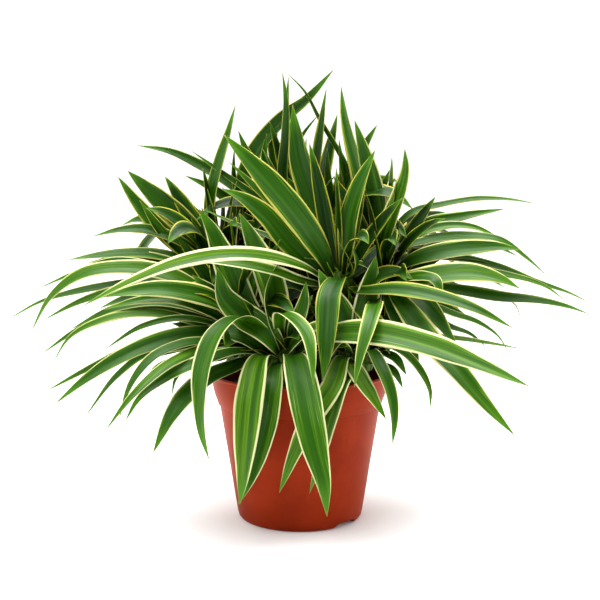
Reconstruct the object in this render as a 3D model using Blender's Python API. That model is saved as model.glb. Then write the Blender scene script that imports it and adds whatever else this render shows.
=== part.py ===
"""Variegated spider plant in a plastic nursery pot.

Pot, compost, short crowns standing in the compost, and one closed blade for each large leaf.
Every length below is in millimetres; the meshes are built in metres with +Z up, the pot's axis
on the origin and the foot ring on z = 0. The front of the plant is toward -Y.
"""
import math

import bmesh
import bpy
from mathutils import Vector

MM = 0.001
GAP = 0.3                 # clearance left between pieces that touch

# Pot: outer wall as (radius, height), from the foot ring up to the lip.
POT_OUTER = (
    (39.6, 0.0), (41.3, 0.6), (42.4, 2.0), (43.0, 4.4), (44.4, 13.0), (48.4, 38.0),
    (54.8, 78.2), (56.0, 79.2), (56.9, 82.0), (58.2, 85.6), (59.2, 89.4), (59.8, 94.0),
    (60.1, 97.8), (60.6, 98.6), (60.6, 99.4), (60.0, 100.0),
)
POT_WALL = 1.5            # wall thickness, measured radially
POT_HEIGHT = 100.0
FLOOR_TOP = 5.2
FLOOR_UNDERSIDE = 3.8
FOOT_INNER = 35.6
FLOOR_CORNER = 41.0
POT_SEGMENTS = 72

FOOT_ARCH_HEADINGS = (47.0, 227.0)   # degrees from the front, turning toward +X
FOOT_ARCH_WIDTH = 20.0
FOOT_ARCH_TOP_WIDTH = 15.0
FOOT_ARCH_HEIGHT = 3.3
FOOT_ARCH_INSIDE = 32.0
FOOT_ARCH_OUTSIDE = 46.0

DRAIN_HOLE_DIAMETER = 5.5
DRAIN_HOLE_CIRCLE = 24.0
DRAIN_HOLE_COUNT = 6
DRAIN_HOLE_HEADING = 36.0  # degrees from +X to the first hole
DRAIN_HOLE_SIDES = 16

# Compost: top surface as (radius, height); the sides follow the pot's inner wall.
COMPOST_EDGE_HEIGHT = 88.0
COMPOST_TOP = ((44.0, 89.0), (30.0, 90.2), (14.0, 91.0))
COMPOST_CENTRE_HEIGHT = 91.2
COMPOST_LEVELS = (12.0, 38.0, 78.2, 82.0, 85.6)
COMPOST_SEGMENTS = 48
SOCKET_FLOOR = 78.0       # height of the bottom of the hole that each crown stands in

# Crowns: name, foot (x, y) in the compost, centre of the rounded top (x, y, z).
STEM_RADIUS = 6.0
BULB_RADIUS = 11.0
BULB_HALF_HEIGHT = 13.0
CROWN_SEGMENTS = 14
BULB_LEVELS = (-0.70, -0.40, 0.0, 0.40, 0.70, 0.92)   # fractions of the half height
LEAN_BELOW = -0.5         # bulb levels under this fraction follow the leaning stem
CROWNS = {
    "front_crown": ((-8, -24), (-10, -28, 112)),
    "middle_crown": ((14, -4), (26, -8, 158)),
    "right_crown": ((36, 6), (57, 5, 163)),
    "left_crown": ((-28, -4), (-38, -6, 126)),
    "far_left_crown": ((-32, 20), (-56, 24, 168)),
    "top_crown": ((-4, 14), (4, 34, 178)),
    "far_right_crown": ((22, 26), (38, 38, 165)),
    "low_right_crown": ((30, -24), (38, -21, 110)),
    "back_crown": ((2, 42), (2, 46, 110)),
}

# Blade section and outline.
BLADE_THICKNESS = 0.9
FOLD_DEGREES = 16.0       # each half of the blade rises this much from the middle rib
BLADE_STATIONS = 10
TIP_WIDTH = 0.7
OUTLINE = ((0.0, 0.34), (0.10, 0.55), (0.28, 0.90), (0.45, 1.0), (0.68, 0.76), (0.88, 0.34), (1.0, 0.0))
SPLINE_SAMPLES = 24

# Leaves: name, crown, route points (x, y, z) ending at the tip, greatest width, and how far the
# blade is turned about its own line at the base and at the tip, in degrees.
LEAVES = (
    ("front_leaf_01", "front_crown",
     ((-5, -50, 119), (0, -76, 110), (4, -92, 92), (9, -101, 70), (14, -106, 50), (16, -108, 32)), 21, 0, 0),
    ("front_leaf_02", "front_crown",
     ((-24, -48, 118), (-30, -70, 101), (-33, -78, 72), (-35, -80, 48), (-37, -80, 31)), 20, 0, 0),
    ("front_leaf_03", "front_crown",
     ((-25, -37, 134), (-39, -55, 143), (-51, -72, 136), (-58, -84, 119), (-60, -90, 97),
      (-59, -92, 80), (-55, -91, 62)), 17, 0, 0),
    ("front_leaf_04", "front_crown",
     ((-13, -38, 133), (-12, -48, 145), (-4, -62, 144), (4, -74, 136), (7, -84, 123), (8, -88, 107)), 12, 0, 0),
    ("front_leaf_05", "front_crown",
     ((-13, -32, 139), (-18, -25, 161), (-28, -18, 184), (-40, -12, 208)), 20, -70, -75),
    ("front_leaf_06", "front_crown",
     ((-30, -34, 113), (-46, -46, 109), (-63, -66, 103), (-77, -86, 89), (-88, -95, 67)), 16, -20, -30),
    ("front_leaf_07", "front_crown",
     ((8, -40, 127), (40, -60, 135), (78, -80, 130), (107, -100, 121), (132, -112, 111)), 19, 55, 45),
    ("front_leaf_08", "front_crown",
     ((-22, -28, 131), (-36, -25, 146), (-45, -24, 166), (-52, -23, 184), (-58, -22, 198), (-66, -21, 211)),
     20, -70, -70),
    ("low_leaf_01", "low_right_crown",
     ((28, -42, 116), (20, -63, 101), (6, -68, 80), (-4, -67, 58), (-13, -66, 34)), 15, 0, 0),
    ("low_leaf_02", "low_right_crown",
     ((54, -34, 122), (66, -46, 120), (76, -53, 110), (82, -57, 97), (82, -59, 86)), 7, 20, 20),
    ("low_leaf_03", "low_right_crown",
     ((45, -43, 121), (51, -60, 112), (56, -70, 99), (58, -75, 84), (57, -77, 68)), 10, 0, 0),
    ("low_leaf_04", "low_right_crown",
     ((34, -43, 112), (39, -60, 104), (46, -69, 94), (53, -74, 83)), 12, 0, 0),
    ("middle_leaf_01", "middle_crown",
     ((14, -22, 182), (0, -31, 203), (-16, -35, 223), (-33, -37, 242), (-48, -38, 258)), 22, -70, -75),
    ("middle_leaf_02", "middle_crown",
     ((25, -29, 166), (19, -46, 158), (17, -58, 139), (16, -64, 121), (14, -66, 106)), 16, 0, 0),
    ("middle_leaf_03", "middle_crown",
     ((4, -30, 173), (-18, -46, 181), (-45, -62, 184), (-72, -72, 180), (-102, -78, 169), (-131, -80, 154)),
     12, -50, -40),
    ("middle_leaf_04", "middle_crown",
     ((1, -24, 164), (-19, -36, 172), (-40, -44, 177), (-61, -48, 179), (-82, -50, 176)), 11, -50, -40),
    ("middle_leaf_05", "middle_crown",
     ((40, -26, 158), (62, -40, 160), (86, -52, 157), (109, -62, 150), (131, -68, 139)), 12, 50, 40),
    ("middle_leaf_06", "middle_crown",
     ((30, -18, 180), (32, -20, 205), (39, -19, 228), (49, -17, 249)), 14, 80, 80),
    ("middle_leaf_07", "middle_crown",
     ((18, 0, 190), (10, 4, 215), (1, 6, 240), (-3, 7, 262), (-5, 8, 280)), 19, -80, -80),
    ("middle_leaf_08", "middle_crown",
     ((5, -14, 176), (-9, -16, 190), (-22, -17, 206), (-36, -17, 217), (-51, -16, 224)), 17, -70, -70),
    ("right_leaf_01", "right_crown",
     ((54, 12, 190), (53, 13, 208), (50, 13, 224), (45, 12, 243), (37, 11, 270)), 15, 80, 80),
    ("right_leaf_02", "right_crown",
     ((56, -6, 187), (61, -9, 206), (67, -10, 223), (70, -11, 238), (69, -11, 250)), 16, 80, 80),
    ("right_leaf_03", "right_crown",
     ((69, 3, 183), (86, 3, 189), (110, 2, 192), (136, -1, 189), (152, -3, 178), (165, -4, 167)), 10, 40, 30),
    ("right_leaf_04", "right_crown",
     ((73, -5, 175), (93, -13, 182), (114, -17, 185), (132, -19, 186), (145, -20, 184)), 14, 55, 50),
    ("right_leaf_05", "right_crown",
     ((75, -22, 165), (93, -31, 169), (112, -37, 170), (130, -41, 166), (140, -43, 161)), 18, 55, 50),
    ("right_leaf_06", "right_crown",
     ((80, 6, 176), (105, 4, 177), (134, 2, 171), (157, 1, 162), (184, 0, 153), (195, 0, 148)), 10, 30, 30),
    ("right_leaf_07", "right_crown",
     ((84, -2, 159), (110, -5, 155), (136, -6, 151), (160, -7, 149), (180, -6, 145), (195, -5, 140)), 12, 40, 30),
    ("right_leaf_08", "right_crown",
     ((64, -19, 153), (70, -37, 145), (80, -58, 131), (96, -76, 114), (112, -88, 95), (128, -96, 78)), 17, 30, 20),
    ("right_leaf_09", "right_crown",
     ((74, -11, 156), (83, -25, 148), (94, -37, 133), (101, -43, 123)), 14, 30, 20),
    ("right_leaf_10", "right_crown",
     ((49, -25, 150), (47, -50, 150), (42, -68, 139), (37, -77, 124), (33, -80, 104)), 12, 10, 0),
    ("left_leaf_01", "left_crown",
     ((-54, -28, 150), (-73, -42, 158), (-91, -51, 161), (-108, -56, 160), (-121, -58, 157)), 17, -50, -45),
    ("left_leaf_02", "left_crown",
     ((-61, -6, 151), (-93, -6, 162), (-120, -6, 160), (-150, -6, 155), (-175, -6, 148), (-196, -6, 137)),
     10, -35, -30),
    ("left_leaf_03", "left_crown",
     ((-58, -16, 150), (-80, -24, 166), (-111, -28, 173), (-144, -30, 168), (-162, -31, 154), (-175, -31, 132)),
     13, -50, -40),
    ("left_leaf_04", "left_crown",
     ((-62, -18, 138), (-86, -26, 144), (-114, -32, 143), (-144, -35, 133), (-167, -36, 118)), 9, -45, -40),
    ("left_leaf_05", "left_crown",
     ((-56, -28, 131), (-77, -48, 131), (-106, -66, 123), (-129, -78, 110), (-148, -86, 95)), 12, -50, -40),
    ("left_leaf_06", "left_crown",
     ((-50, -32, 124), (-68, -62, 122), (-84, -88, 116), (-99, -106, 103), (-112, -118, 86)), 8, -30, -30),
    ("far_left_leaf_01", "far_left_crown",
     ((-72, 26, 190), (-88, 25, 207), (-105, 23, 223), (-119, 22, 236)), 17, -75, -75),
    ("far_left_leaf_02", "far_left_crown",
     ((-78, 18, 180), (-97, 15, 197), (-113, 13, 216), (-124, 12, 232)), 13, -75, -75),
    ("far_left_leaf_03", "far_left_crown",
     ((-62, 20, 195), (-61, 18, 220), (-55, 17, 243), (-49, 16, 262), (-44, 15, 280)), 11, 75, 75),
    ("far_left_leaf_04", "far_left_crown",
     ((-46, 32, 200), (-41, 35, 224), (-33, 37, 247), (-13, 36, 272), (4, 32, 285), (23, 25, 305)), 13, 60, 80),
    ("far_left_leaf_05", "far_left_crown",
     ((-76, 11, 174), (-104, 2, 180), (-128, -4, 180), (-154, -9, 177)), 13, -40, -30),
    ("top_leaf_01", "top_crown",
     ((-9, 30, 208), (-13, 28, 232), (-11, 26, 258), (-10, 26, 285), (-12, 26, 303)), 10, -70, -80),
    ("top_leaf_02", "far_right_crown",
     ((47, 28, 200), (41, 22, 233), (36, 20, 251), (31, 19, 271), (28, 19, 293)), 14, 80, 80),
    ("top_leaf_03", "far_right_crown",
     ((62, 33, 190), (78, 30, 207), (100, 28, 213), (125, 27, 217), (150, 26, 216), (162, 26, 214)), 7, 40, 40),
    ("back_leaf_01", "top_crown",
     ((6, 60, 203), (10, 84, 213), (14, 103, 200), (16, 118, 168)), 17, 0, 0),
    ("back_leaf_02", "far_right_crown",
     ((60, 58, 188), (84, 78, 196), (106, 94, 184), (122, 104, 158)), 16, 0, 0),
    ("back_leaf_03", "far_left_crown",
     ((-74, 48, 190), (-96, 68, 196), (-116, 84, 182), (-130, 94, 154)), 16, 0, 0),
    ("back_leaf_04", "back_crown",
     ((-20, 64, 120), (-40, 84, 112), (-52, 98, 90), (-58, 106, 60)), 17, 0, 0),
    ("back_leaf_05", "back_crown",
     ((24, 64, 120), (44, 84, 112), (56, 98, 88), (62, 106, 58)), 17, 0, 0),
)

# Plain finishes that tell the pieces apart: linear base colour and roughness.
FINISHES = {
    "pot": ((0.28, 0.055, 0.025), 0.45),
    "compost": ((0.012, 0.009, 0.007), 0.95),
    "crown": ((0.16, 0.22, 0.05), 0.6),
    "leaf": ((0.05, 0.16, 0.02), 0.45),
}


def make_material(name, finish):
    """A plain Principled material for one piece."""
    colour, roughness = FINISHES[finish]
    material = bpy.data.materials.new(name)
    material.use_nodes = True
    shader = material.node_tree.nodes["Principled BSDF"]
    shader.inputs["Base Color"].default_value = (*colour, 1.0)
    shader.inputs["Roughness"].default_value = roughness
    material.diffuse_color = (*colour, 1.0)
    return material


def add_object(name, mesh_data, finish, smooth=True):
    """Turn a bmesh in millimetres into a named object in metres, with its faces outward."""
    bmesh.ops.recalc_face_normals(mesh_data, faces=mesh_data.faces)
    if mesh_data.calc_volume(signed=True) < 0.0:
        bmesh.ops.reverse_faces(mesh_data, faces=mesh_data.faces)
    bmesh.ops.scale(mesh_data, vec=(MM, MM, MM), verts=mesh_data.verts)
    mesh = bpy.data.meshes.new(name)
    mesh_data.to_mesh(mesh)
    mesh_data.free()
    for face in mesh.polygons:
        face.use_smooth = smooth
    result = bpy.data.objects.new(name, mesh)
    bpy.context.collection.objects.link(result)
    mesh.materials.append(make_material(name, finish))
    return result


def ring(mesh_data, centre, radius, segments):
    """A level ring of vertices about a centre (x, y, z)."""
    vertices = []
    for step in range(segments):
        angle = 2.0 * math.pi * step / segments
        place = (centre[0] + radius * math.cos(angle), centre[1] + radius * math.sin(angle), centre[2])
        vertices.append(mesh_data.verts.new(place))
    return vertices


def bridge(mesh_data, first, second):
    """Quads between two rings of the same length."""
    count = len(first)
    for step in range(count):
        after = (step + 1) % count
        mesh_data.faces.new((first[step], first[after], second[after], second[step]))


def cap_with_centre(mesh_data, vertices, centre):
    """Close a ring with a fan of triangles to a centre point."""
    middle = mesh_data.verts.new(centre)
    count = len(vertices)
    for step in range(count):
        mesh_data.faces.new((vertices[step], vertices[(step + 1) % count], middle))


def turned_solid(profile, segments, bottom_centre, top_centre):
    """A solid turned about +Z from an open profile, closed by its two centre points."""
    mesh_data = bmesh.new()
    rings = [ring(mesh_data, (0.0, 0.0, height), radius, segments) for radius, height in profile]
    for first, second in zip(rings, rings[1:]):
        bridge(mesh_data, first, second)
    cap_with_centre(mesh_data, rings[0], (0.0, 0.0, bottom_centre))
    cap_with_centre(mesh_data, rings[-1], (0.0, 0.0, top_centre))
    return mesh_data


def outer_radius(height):
    """Outer radius of the pot's wall at a height."""
    for (low_radius, low), (high_radius, high) in zip(POT_OUTER, POT_OUTER[1:]):
        if low <= height <= high:
            return low_radius + (high_radius - low_radius) * (height - low) / (high - low)
    return POT_OUTER[-1][0]


def cut(target, cutter):
    """Subtract a closed cutter from an object and drop the cutter."""
    cutter.hide_render = True
    cutter.display_type = "WIRE"
    modifier = target.modifiers.new("cut", "BOOLEAN")
    modifier.operation = "DIFFERENCE"
    modifier.solver = "EXACT"
    modifier.object = cutter
    bpy.context.view_layer.update()
    evaluated = target.evaluated_get(bpy.context.evaluated_depsgraph_get())
    mesh = bpy.data.meshes.new_from_object(evaluated)
    target.modifiers.clear()
    old_mesh = target.data
    target.data = mesh
    mesh.name = target.name
    bpy.data.meshes.remove(old_mesh)
    bpy.data.objects.remove(cutter, do_unlink=True)


def cylinder_cutter(name, places, radius, low, high, sides):
    """One cutter made of separate upright cylinders."""
    mesh_data = bmesh.new()
    for x, y in places:
        bottom = ring(mesh_data, (x, y, low), radius, sides)
        top = ring(mesh_data, (x, y, high), radius, sides)
        bridge(mesh_data, bottom, top)
        mesh_data.faces.new(bottom)
        mesh_data.faces.new(top)
    return add_object(name, mesh_data, "pot")


def arch_cutter(name, heading):
    """A low wedge with sloping ends that opens the foot ring at one heading."""
    angle = math.radians(heading)
    outward = Vector((math.sin(angle), -math.cos(angle), 0.0))
    sideways = Vector((math.cos(angle), math.sin(angle), 0.0))
    mesh_data = bmesh.new()
    loops = []
    for reach in (FOOT_ARCH_INSIDE, FOOT_ARCH_OUTSIDE):
        corners = (
            (-FOOT_ARCH_WIDTH / 2, -1.0), (FOOT_ARCH_WIDTH / 2, -1.0),
            (FOOT_ARCH_TOP_WIDTH / 2, FOOT_ARCH_HEIGHT), (-FOOT_ARCH_TOP_WIDTH / 2, FOOT_ARCH_HEIGHT),
        )
        points = [outward * reach + sideways * across + Vector((0.0, 0.0, up)) for across, up in corners]
        loops.append([mesh_data.verts.new(point) for point in points])
    bridge(mesh_data, loops[0], loops[1])
    mesh_data.faces.new(loops[0])
    mesh_data.faces.new(loops[1])
    return add_object(name, mesh_data, "pot")


def build_pot():
    """The pot as one turned shell, with its drain holes and foot arches cut."""
    inner = [(radius - POT_WALL, height) for radius, height in POT_OUTER
             if FLOOR_TOP + 2.0 < height < POT_OUTER[-3][1]]
    lip_inner = (POT_OUTER[-1][0] - POT_WALL + 0.4, POT_HEIGHT)
    profile = [(FOOT_INNER - 0.4, FLOOR_UNDERSIDE), (FOOT_INNER, 0.0)]
    profile += list(POT_OUTER)
    profile += [lip_inner, (POT_OUTER[-1][0] - POT_WALL, POT_HEIGHT - 0.6)]
    profile += list(reversed(inner))
    profile += [(FLOOR_CORNER + 0.7, FLOOR_TOP + 1.2), (FLOOR_CORNER, FLOOR_TOP)]
    pot = add_object("pot", turned_solid(profile, POT_SEGMENTS, FLOOR_UNDERSIDE, FLOOR_TOP), "pot")
    for heading in FOOT_ARCH_HEADINGS:
        cut(pot, arch_cutter("arch_cutter", heading))
    places = []
    for step in range(DRAIN_HOLE_COUNT):
        angle = math.radians(DRAIN_HOLE_HEADING) + 2.0 * math.pi * step / DRAIN_HOLE_COUNT
        places.append((DRAIN_HOLE_CIRCLE * math.cos(angle), DRAIN_HOLE_CIRCLE * math.sin(angle)))
    holes = cylinder_cutter("drain_cutter", places, DRAIN_HOLE_DIAMETER / 2,
                            FLOOR_UNDERSIDE - 2.0, FLOOR_TOP + 2.0, DRAIN_HOLE_SIDES)
    cut(pot, holes)
    return pot


def build_compost():
    """The compost plug that fills the pot, with a socket for each crown."""
    profile = [(FLOOR_CORNER - 0.6, FLOOR_TOP + GAP), (FLOOR_CORNER + 0.4, FLOOR_TOP + 1.6)]
    for height in (*COMPOST_LEVELS, COMPOST_EDGE_HEIGHT):
        profile.append((outer_radius(height) - POT_WALL - GAP, height))
    profile += list(COMPOST_TOP)
    solid = turned_solid(profile, COMPOST_SEGMENTS, FLOOR_TOP + GAP, COMPOST_CENTRE_HEIGHT)
    compost = add_object("compost", solid, "compost")
    feet = [foot for foot, _ in CROWNS.values()]
    sockets = cylinder_cutter("socket_cutter", feet, STEM_RADIUS + GAP, SOCKET_FLOOR,
                              POT_HEIGHT, CROWN_SEGMENTS)
    cut(compost, sockets)
    return compost


def build_crown(name, foot, centre):
    """A short stem from its socket up to a rounded top that the leaves start from."""
    foot_height = SOCKET_FLOOR + GAP
    straight_top = COMPOST_CENTRE_HEIGHT + 1.0
    mesh_data = bmesh.new()
    rings = [ring(mesh_data, (*foot, foot_height), STEM_RADIUS, CROWN_SEGMENTS)]
    rings.append(ring(mesh_data, (*foot, straight_top), STEM_RADIUS, CROWN_SEGMENTS))
    lean_start = Vector((*foot, straight_top))
    middle = Vector(centre)
    for fraction in BULB_LEVELS:
        radius = BULB_RADIUS * math.sqrt(1.0 - fraction * fraction)
        place = middle + Vector((0.0, 0.0, fraction * BULB_HALF_HEIGHT))
        if fraction < LEAN_BELOW:
            lean = (place.z - lean_start.z) / (middle.z - lean_start.z)
            level = lean_start.lerp(middle, lean)
            place = Vector((level.x, level.y, place.z))
        if place.z > straight_top + 1.0:
            rings.append(ring(mesh_data, place, radius, CROWN_SEGMENTS))
    for first, second in zip(rings, rings[1:]):
        bridge(mesh_data, first, second)
    cap_with_centre(mesh_data, rings[0], (*foot, foot_height))
    cap_with_centre(mesh_data, rings[-1], middle + Vector((0.0, 0.0, BULB_HALF_HEIGHT)))
    return add_object(name, mesh_data, "crown")


def outline_width(fraction):
    """Blade width as a share of the greatest width, at a fraction of the length."""
    for (low, low_width), (high, high_width) in zip(OUTLINE, OUTLINE[1:]):
        if fraction <= high:
            blend = (fraction - low) / (high - low)
            blend = blend * blend * (3.0 - 2.0 * blend) if high < 0.5 else blend
            return low_width + (high_width - low_width) * blend
    return 0.0


def seat_on_bulb(centre, toward):
    """Point just off a crown's rounded top, and the outward direction there."""
    scale = Vector((BULB_RADIUS, BULB_RADIUS, BULB_HALF_HEIGHT))
    ray = Vector(toward) - Vector(centre)
    stretch = math.sqrt(sum((ray[axis] / scale[axis]) ** 2 for axis in range(3)))
    point = ray / stretch
    normal = Vector([point[axis] / scale[axis] ** 2 for axis in range(3)]).normalized()
    return Vector(centre) + point + normal * GAP, normal


def smooth_path(points, start_direction):
    """Dense points on a smooth curve through the given ones, spaced by arc length."""
    spans = [(after - before).length for before, after in zip(points, points[1:])]
    slopes = [start_direction * 1.0]
    for index in range(1, len(points) - 1):
        before = (points[index] - points[index - 1]) / spans[index - 1]
        after = (points[index + 1] - points[index]) / spans[index]
        weight = spans[index - 1] / (spans[index - 1] + spans[index])
        slopes.append(before.lerp(after, weight))
    slopes.append((points[-1] - points[-2]) / spans[-1])
    path = []
    for index, span in enumerate(spans):
        for step in range(SPLINE_SAMPLES):
            t = step / SPLINE_SAMPLES
            rise = t * t * (3.0 - 2.0 * t)
            leave = t * (1.0 - t) ** 2 * span
            arrive = t * t * (1.0 - t) * span
            place = points[index].lerp(points[index + 1], rise)
            path.append(place + slopes[index] * leave - slopes[index + 1] * arrive)
    path.append(points[-1])
    return path


def stations_along(path, count):
    """Points at equal steps of length along a dense path."""
    reached = [0.0]
    for before, after in zip(path, path[1:]):
        reached.append(reached[-1] + (after - before).length)
    picked = []
    index = 0
    for step in range(count):
        goal = reached[-1] * step / (count - 1)
        while index < len(path) - 2 and reached[index + 1] < goal:
            index += 1
        share = (goal - reached[index]) / (reached[index + 1] - reached[index])
        picked.append(path[index].lerp(path[index + 1], min(1.0, share)))
    return picked


def blade_frames(places, roll_base, roll_tip):
    """Side and face directions at each station, turned about the blade's line by the roll."""
    heading = places[-1] - places[0]
    heading.z = 0.0
    side = heading.normalized().cross(Vector((0.0, 0.0, 1.0)))
    frames = []
    last = len(places) - 1
    for index in range(len(places)):
        along = (places[min(index + 1, last)] - places[max(index - 1, 0)]).normalized()
        side = (side - along * side.dot(along)).normalized()
        face = side.cross(along)
        roll = math.radians(roll_base + (roll_tip - roll_base) * index / last)
        turned_side = side * math.cos(roll) - face * math.sin(roll)
        turned_face = face * math.cos(roll) + side * math.sin(roll)
        frames.append((turned_side, turned_face))
    return frames


def build_leaf(name, crown, route, width, roll_base, roll_tip):
    """One blade: a closed shallow V channel that narrows to its tip."""
    centre = CROWNS[crown][1]
    seat, normal = seat_on_bulb(centre, route[0])
    points = [seat] + [Vector(point) for point in route]
    places = stations_along(smooth_path(points, normal), BLADE_STATIONS)
    frames = blade_frames(places, roll_base, roll_tip)
    rise = math.tan(math.radians(FOLD_DEGREES))
    mesh_data = bmesh.new()
    loops = []
    for index, (place, (side, face)) in enumerate(zip(places, frames)):
        half = max(TIP_WIDTH, width * outline_width(index / (BLADE_STATIONS - 1))) / 2.0
        lift = face * (half * rise)
        under = face * BLADE_THICKNESS
        section = (
            place - side * half + lift, place, place + side * half + lift,
            place + side * half + lift - under, place - under, place - side * half + lift - under,
        )
        loops.append([mesh_data.verts.new(corner) for corner in section])
    for first, second in zip(loops, loops[1:]):
        bridge(mesh_data, first, second)
    for loop in (loops[0], loops[-1]):
        mesh_data.faces.new((loop[0], loop[1], loop[4], loop[5]))
        mesh_data.faces.new((loop[1], loop[2], loop[3], loop[4]))
    return add_object(name, mesh_data, "leaf")


def main():
    """Clear the scene and build every piece."""
    for leftover in list(bpy.data.objects):
        bpy.data.objects.remove(leftover, do_unlink=True)
    build_pot()
    build_compost()
    for name, (foot, centre) in CROWNS.items():
        build_crown(name, foot, centre)
    for name, crown, route, width, roll_base, roll_tip in LEAVES:
        build_leaf(name, crown, route, width, roll_base, roll_tip)


main()
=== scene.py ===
"""Looks of a variegated spider plant in a plastic nursery pot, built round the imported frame.

The leaf blades replace the plain blades of the frame along the same lines; finer leaves fill the
plant between them. Lengths in the tables are millimetres, and meshes are written in metres.
"""
import logging
import math
from dataclasses import dataclass
from enum import Enum
from typing import Any, Iterable, Sequence

import bmesh
import bpy
import numpy as np
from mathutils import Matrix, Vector, noise


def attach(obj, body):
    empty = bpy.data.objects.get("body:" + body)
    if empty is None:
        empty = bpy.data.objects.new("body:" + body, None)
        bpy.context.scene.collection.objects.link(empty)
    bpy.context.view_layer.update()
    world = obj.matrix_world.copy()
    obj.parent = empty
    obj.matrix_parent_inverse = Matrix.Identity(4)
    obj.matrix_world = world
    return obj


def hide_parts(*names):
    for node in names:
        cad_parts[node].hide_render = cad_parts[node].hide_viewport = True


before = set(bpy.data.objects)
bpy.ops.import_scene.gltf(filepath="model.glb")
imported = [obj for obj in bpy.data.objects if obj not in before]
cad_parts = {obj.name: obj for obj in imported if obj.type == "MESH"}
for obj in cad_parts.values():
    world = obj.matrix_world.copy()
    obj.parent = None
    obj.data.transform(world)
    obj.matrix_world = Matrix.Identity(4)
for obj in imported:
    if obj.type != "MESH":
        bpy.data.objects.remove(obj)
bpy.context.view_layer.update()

LOG = logging.getLogger("spider_plant")
MM = 0.001
BODY = "root"
SEED_STEP = 0.618034

Point = tuple[float, float, float]
Settings = dict[str, Any]

# Rounded tops of the crowns that the leaves start from: half sizes, and centres.
BULB_RADIUS = 11.0
BULB_HALF_HEIGHT = 13.0
CROWNS: dict[str, Point] = {
    "front_crown": (-10, -28, 112),
    "middle_crown": (26, -8, 158),
    "right_crown": (57, 5, 163),
    "left_crown": (-38, -6, 126),
    "far_left_crown": (-56, 24, 168),
    "top_crown": (4, 34, 178),
    "far_right_crown": (38, 38, 165),
    "low_right_crown": (38, -21, 110),
    "back_crown": (2, 46, 110),
}

# Pot: outer wall as (radius, height) from the foot ring up to the lip.
POT_OUTER = (
    (39.6, 0.0), (41.3, 0.6), (42.4, 2.0), (43.0, 4.4), (44.4, 13.0), (48.4, 38.0),
    (54.8, 78.2), (55.5, 78.6), (56.0, 79.2), (56.9, 82.0), (58.2, 85.6), (59.2, 89.4), (59.8, 94.0),
    (60.1, 97.8), (60.5, 98.3), (60.7, 99.0), (60.5, 99.7), (60.0, 100.0),
)

# Blade outline: share of the greatest width at a fraction of the length.
OUTLINE = (
    (0.0, 0.34), (0.10, 0.58), (0.28, 0.92), (0.45, 1.0), (0.68, 0.80), (0.88, 0.38), (1.0, 0.02),
)

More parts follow.
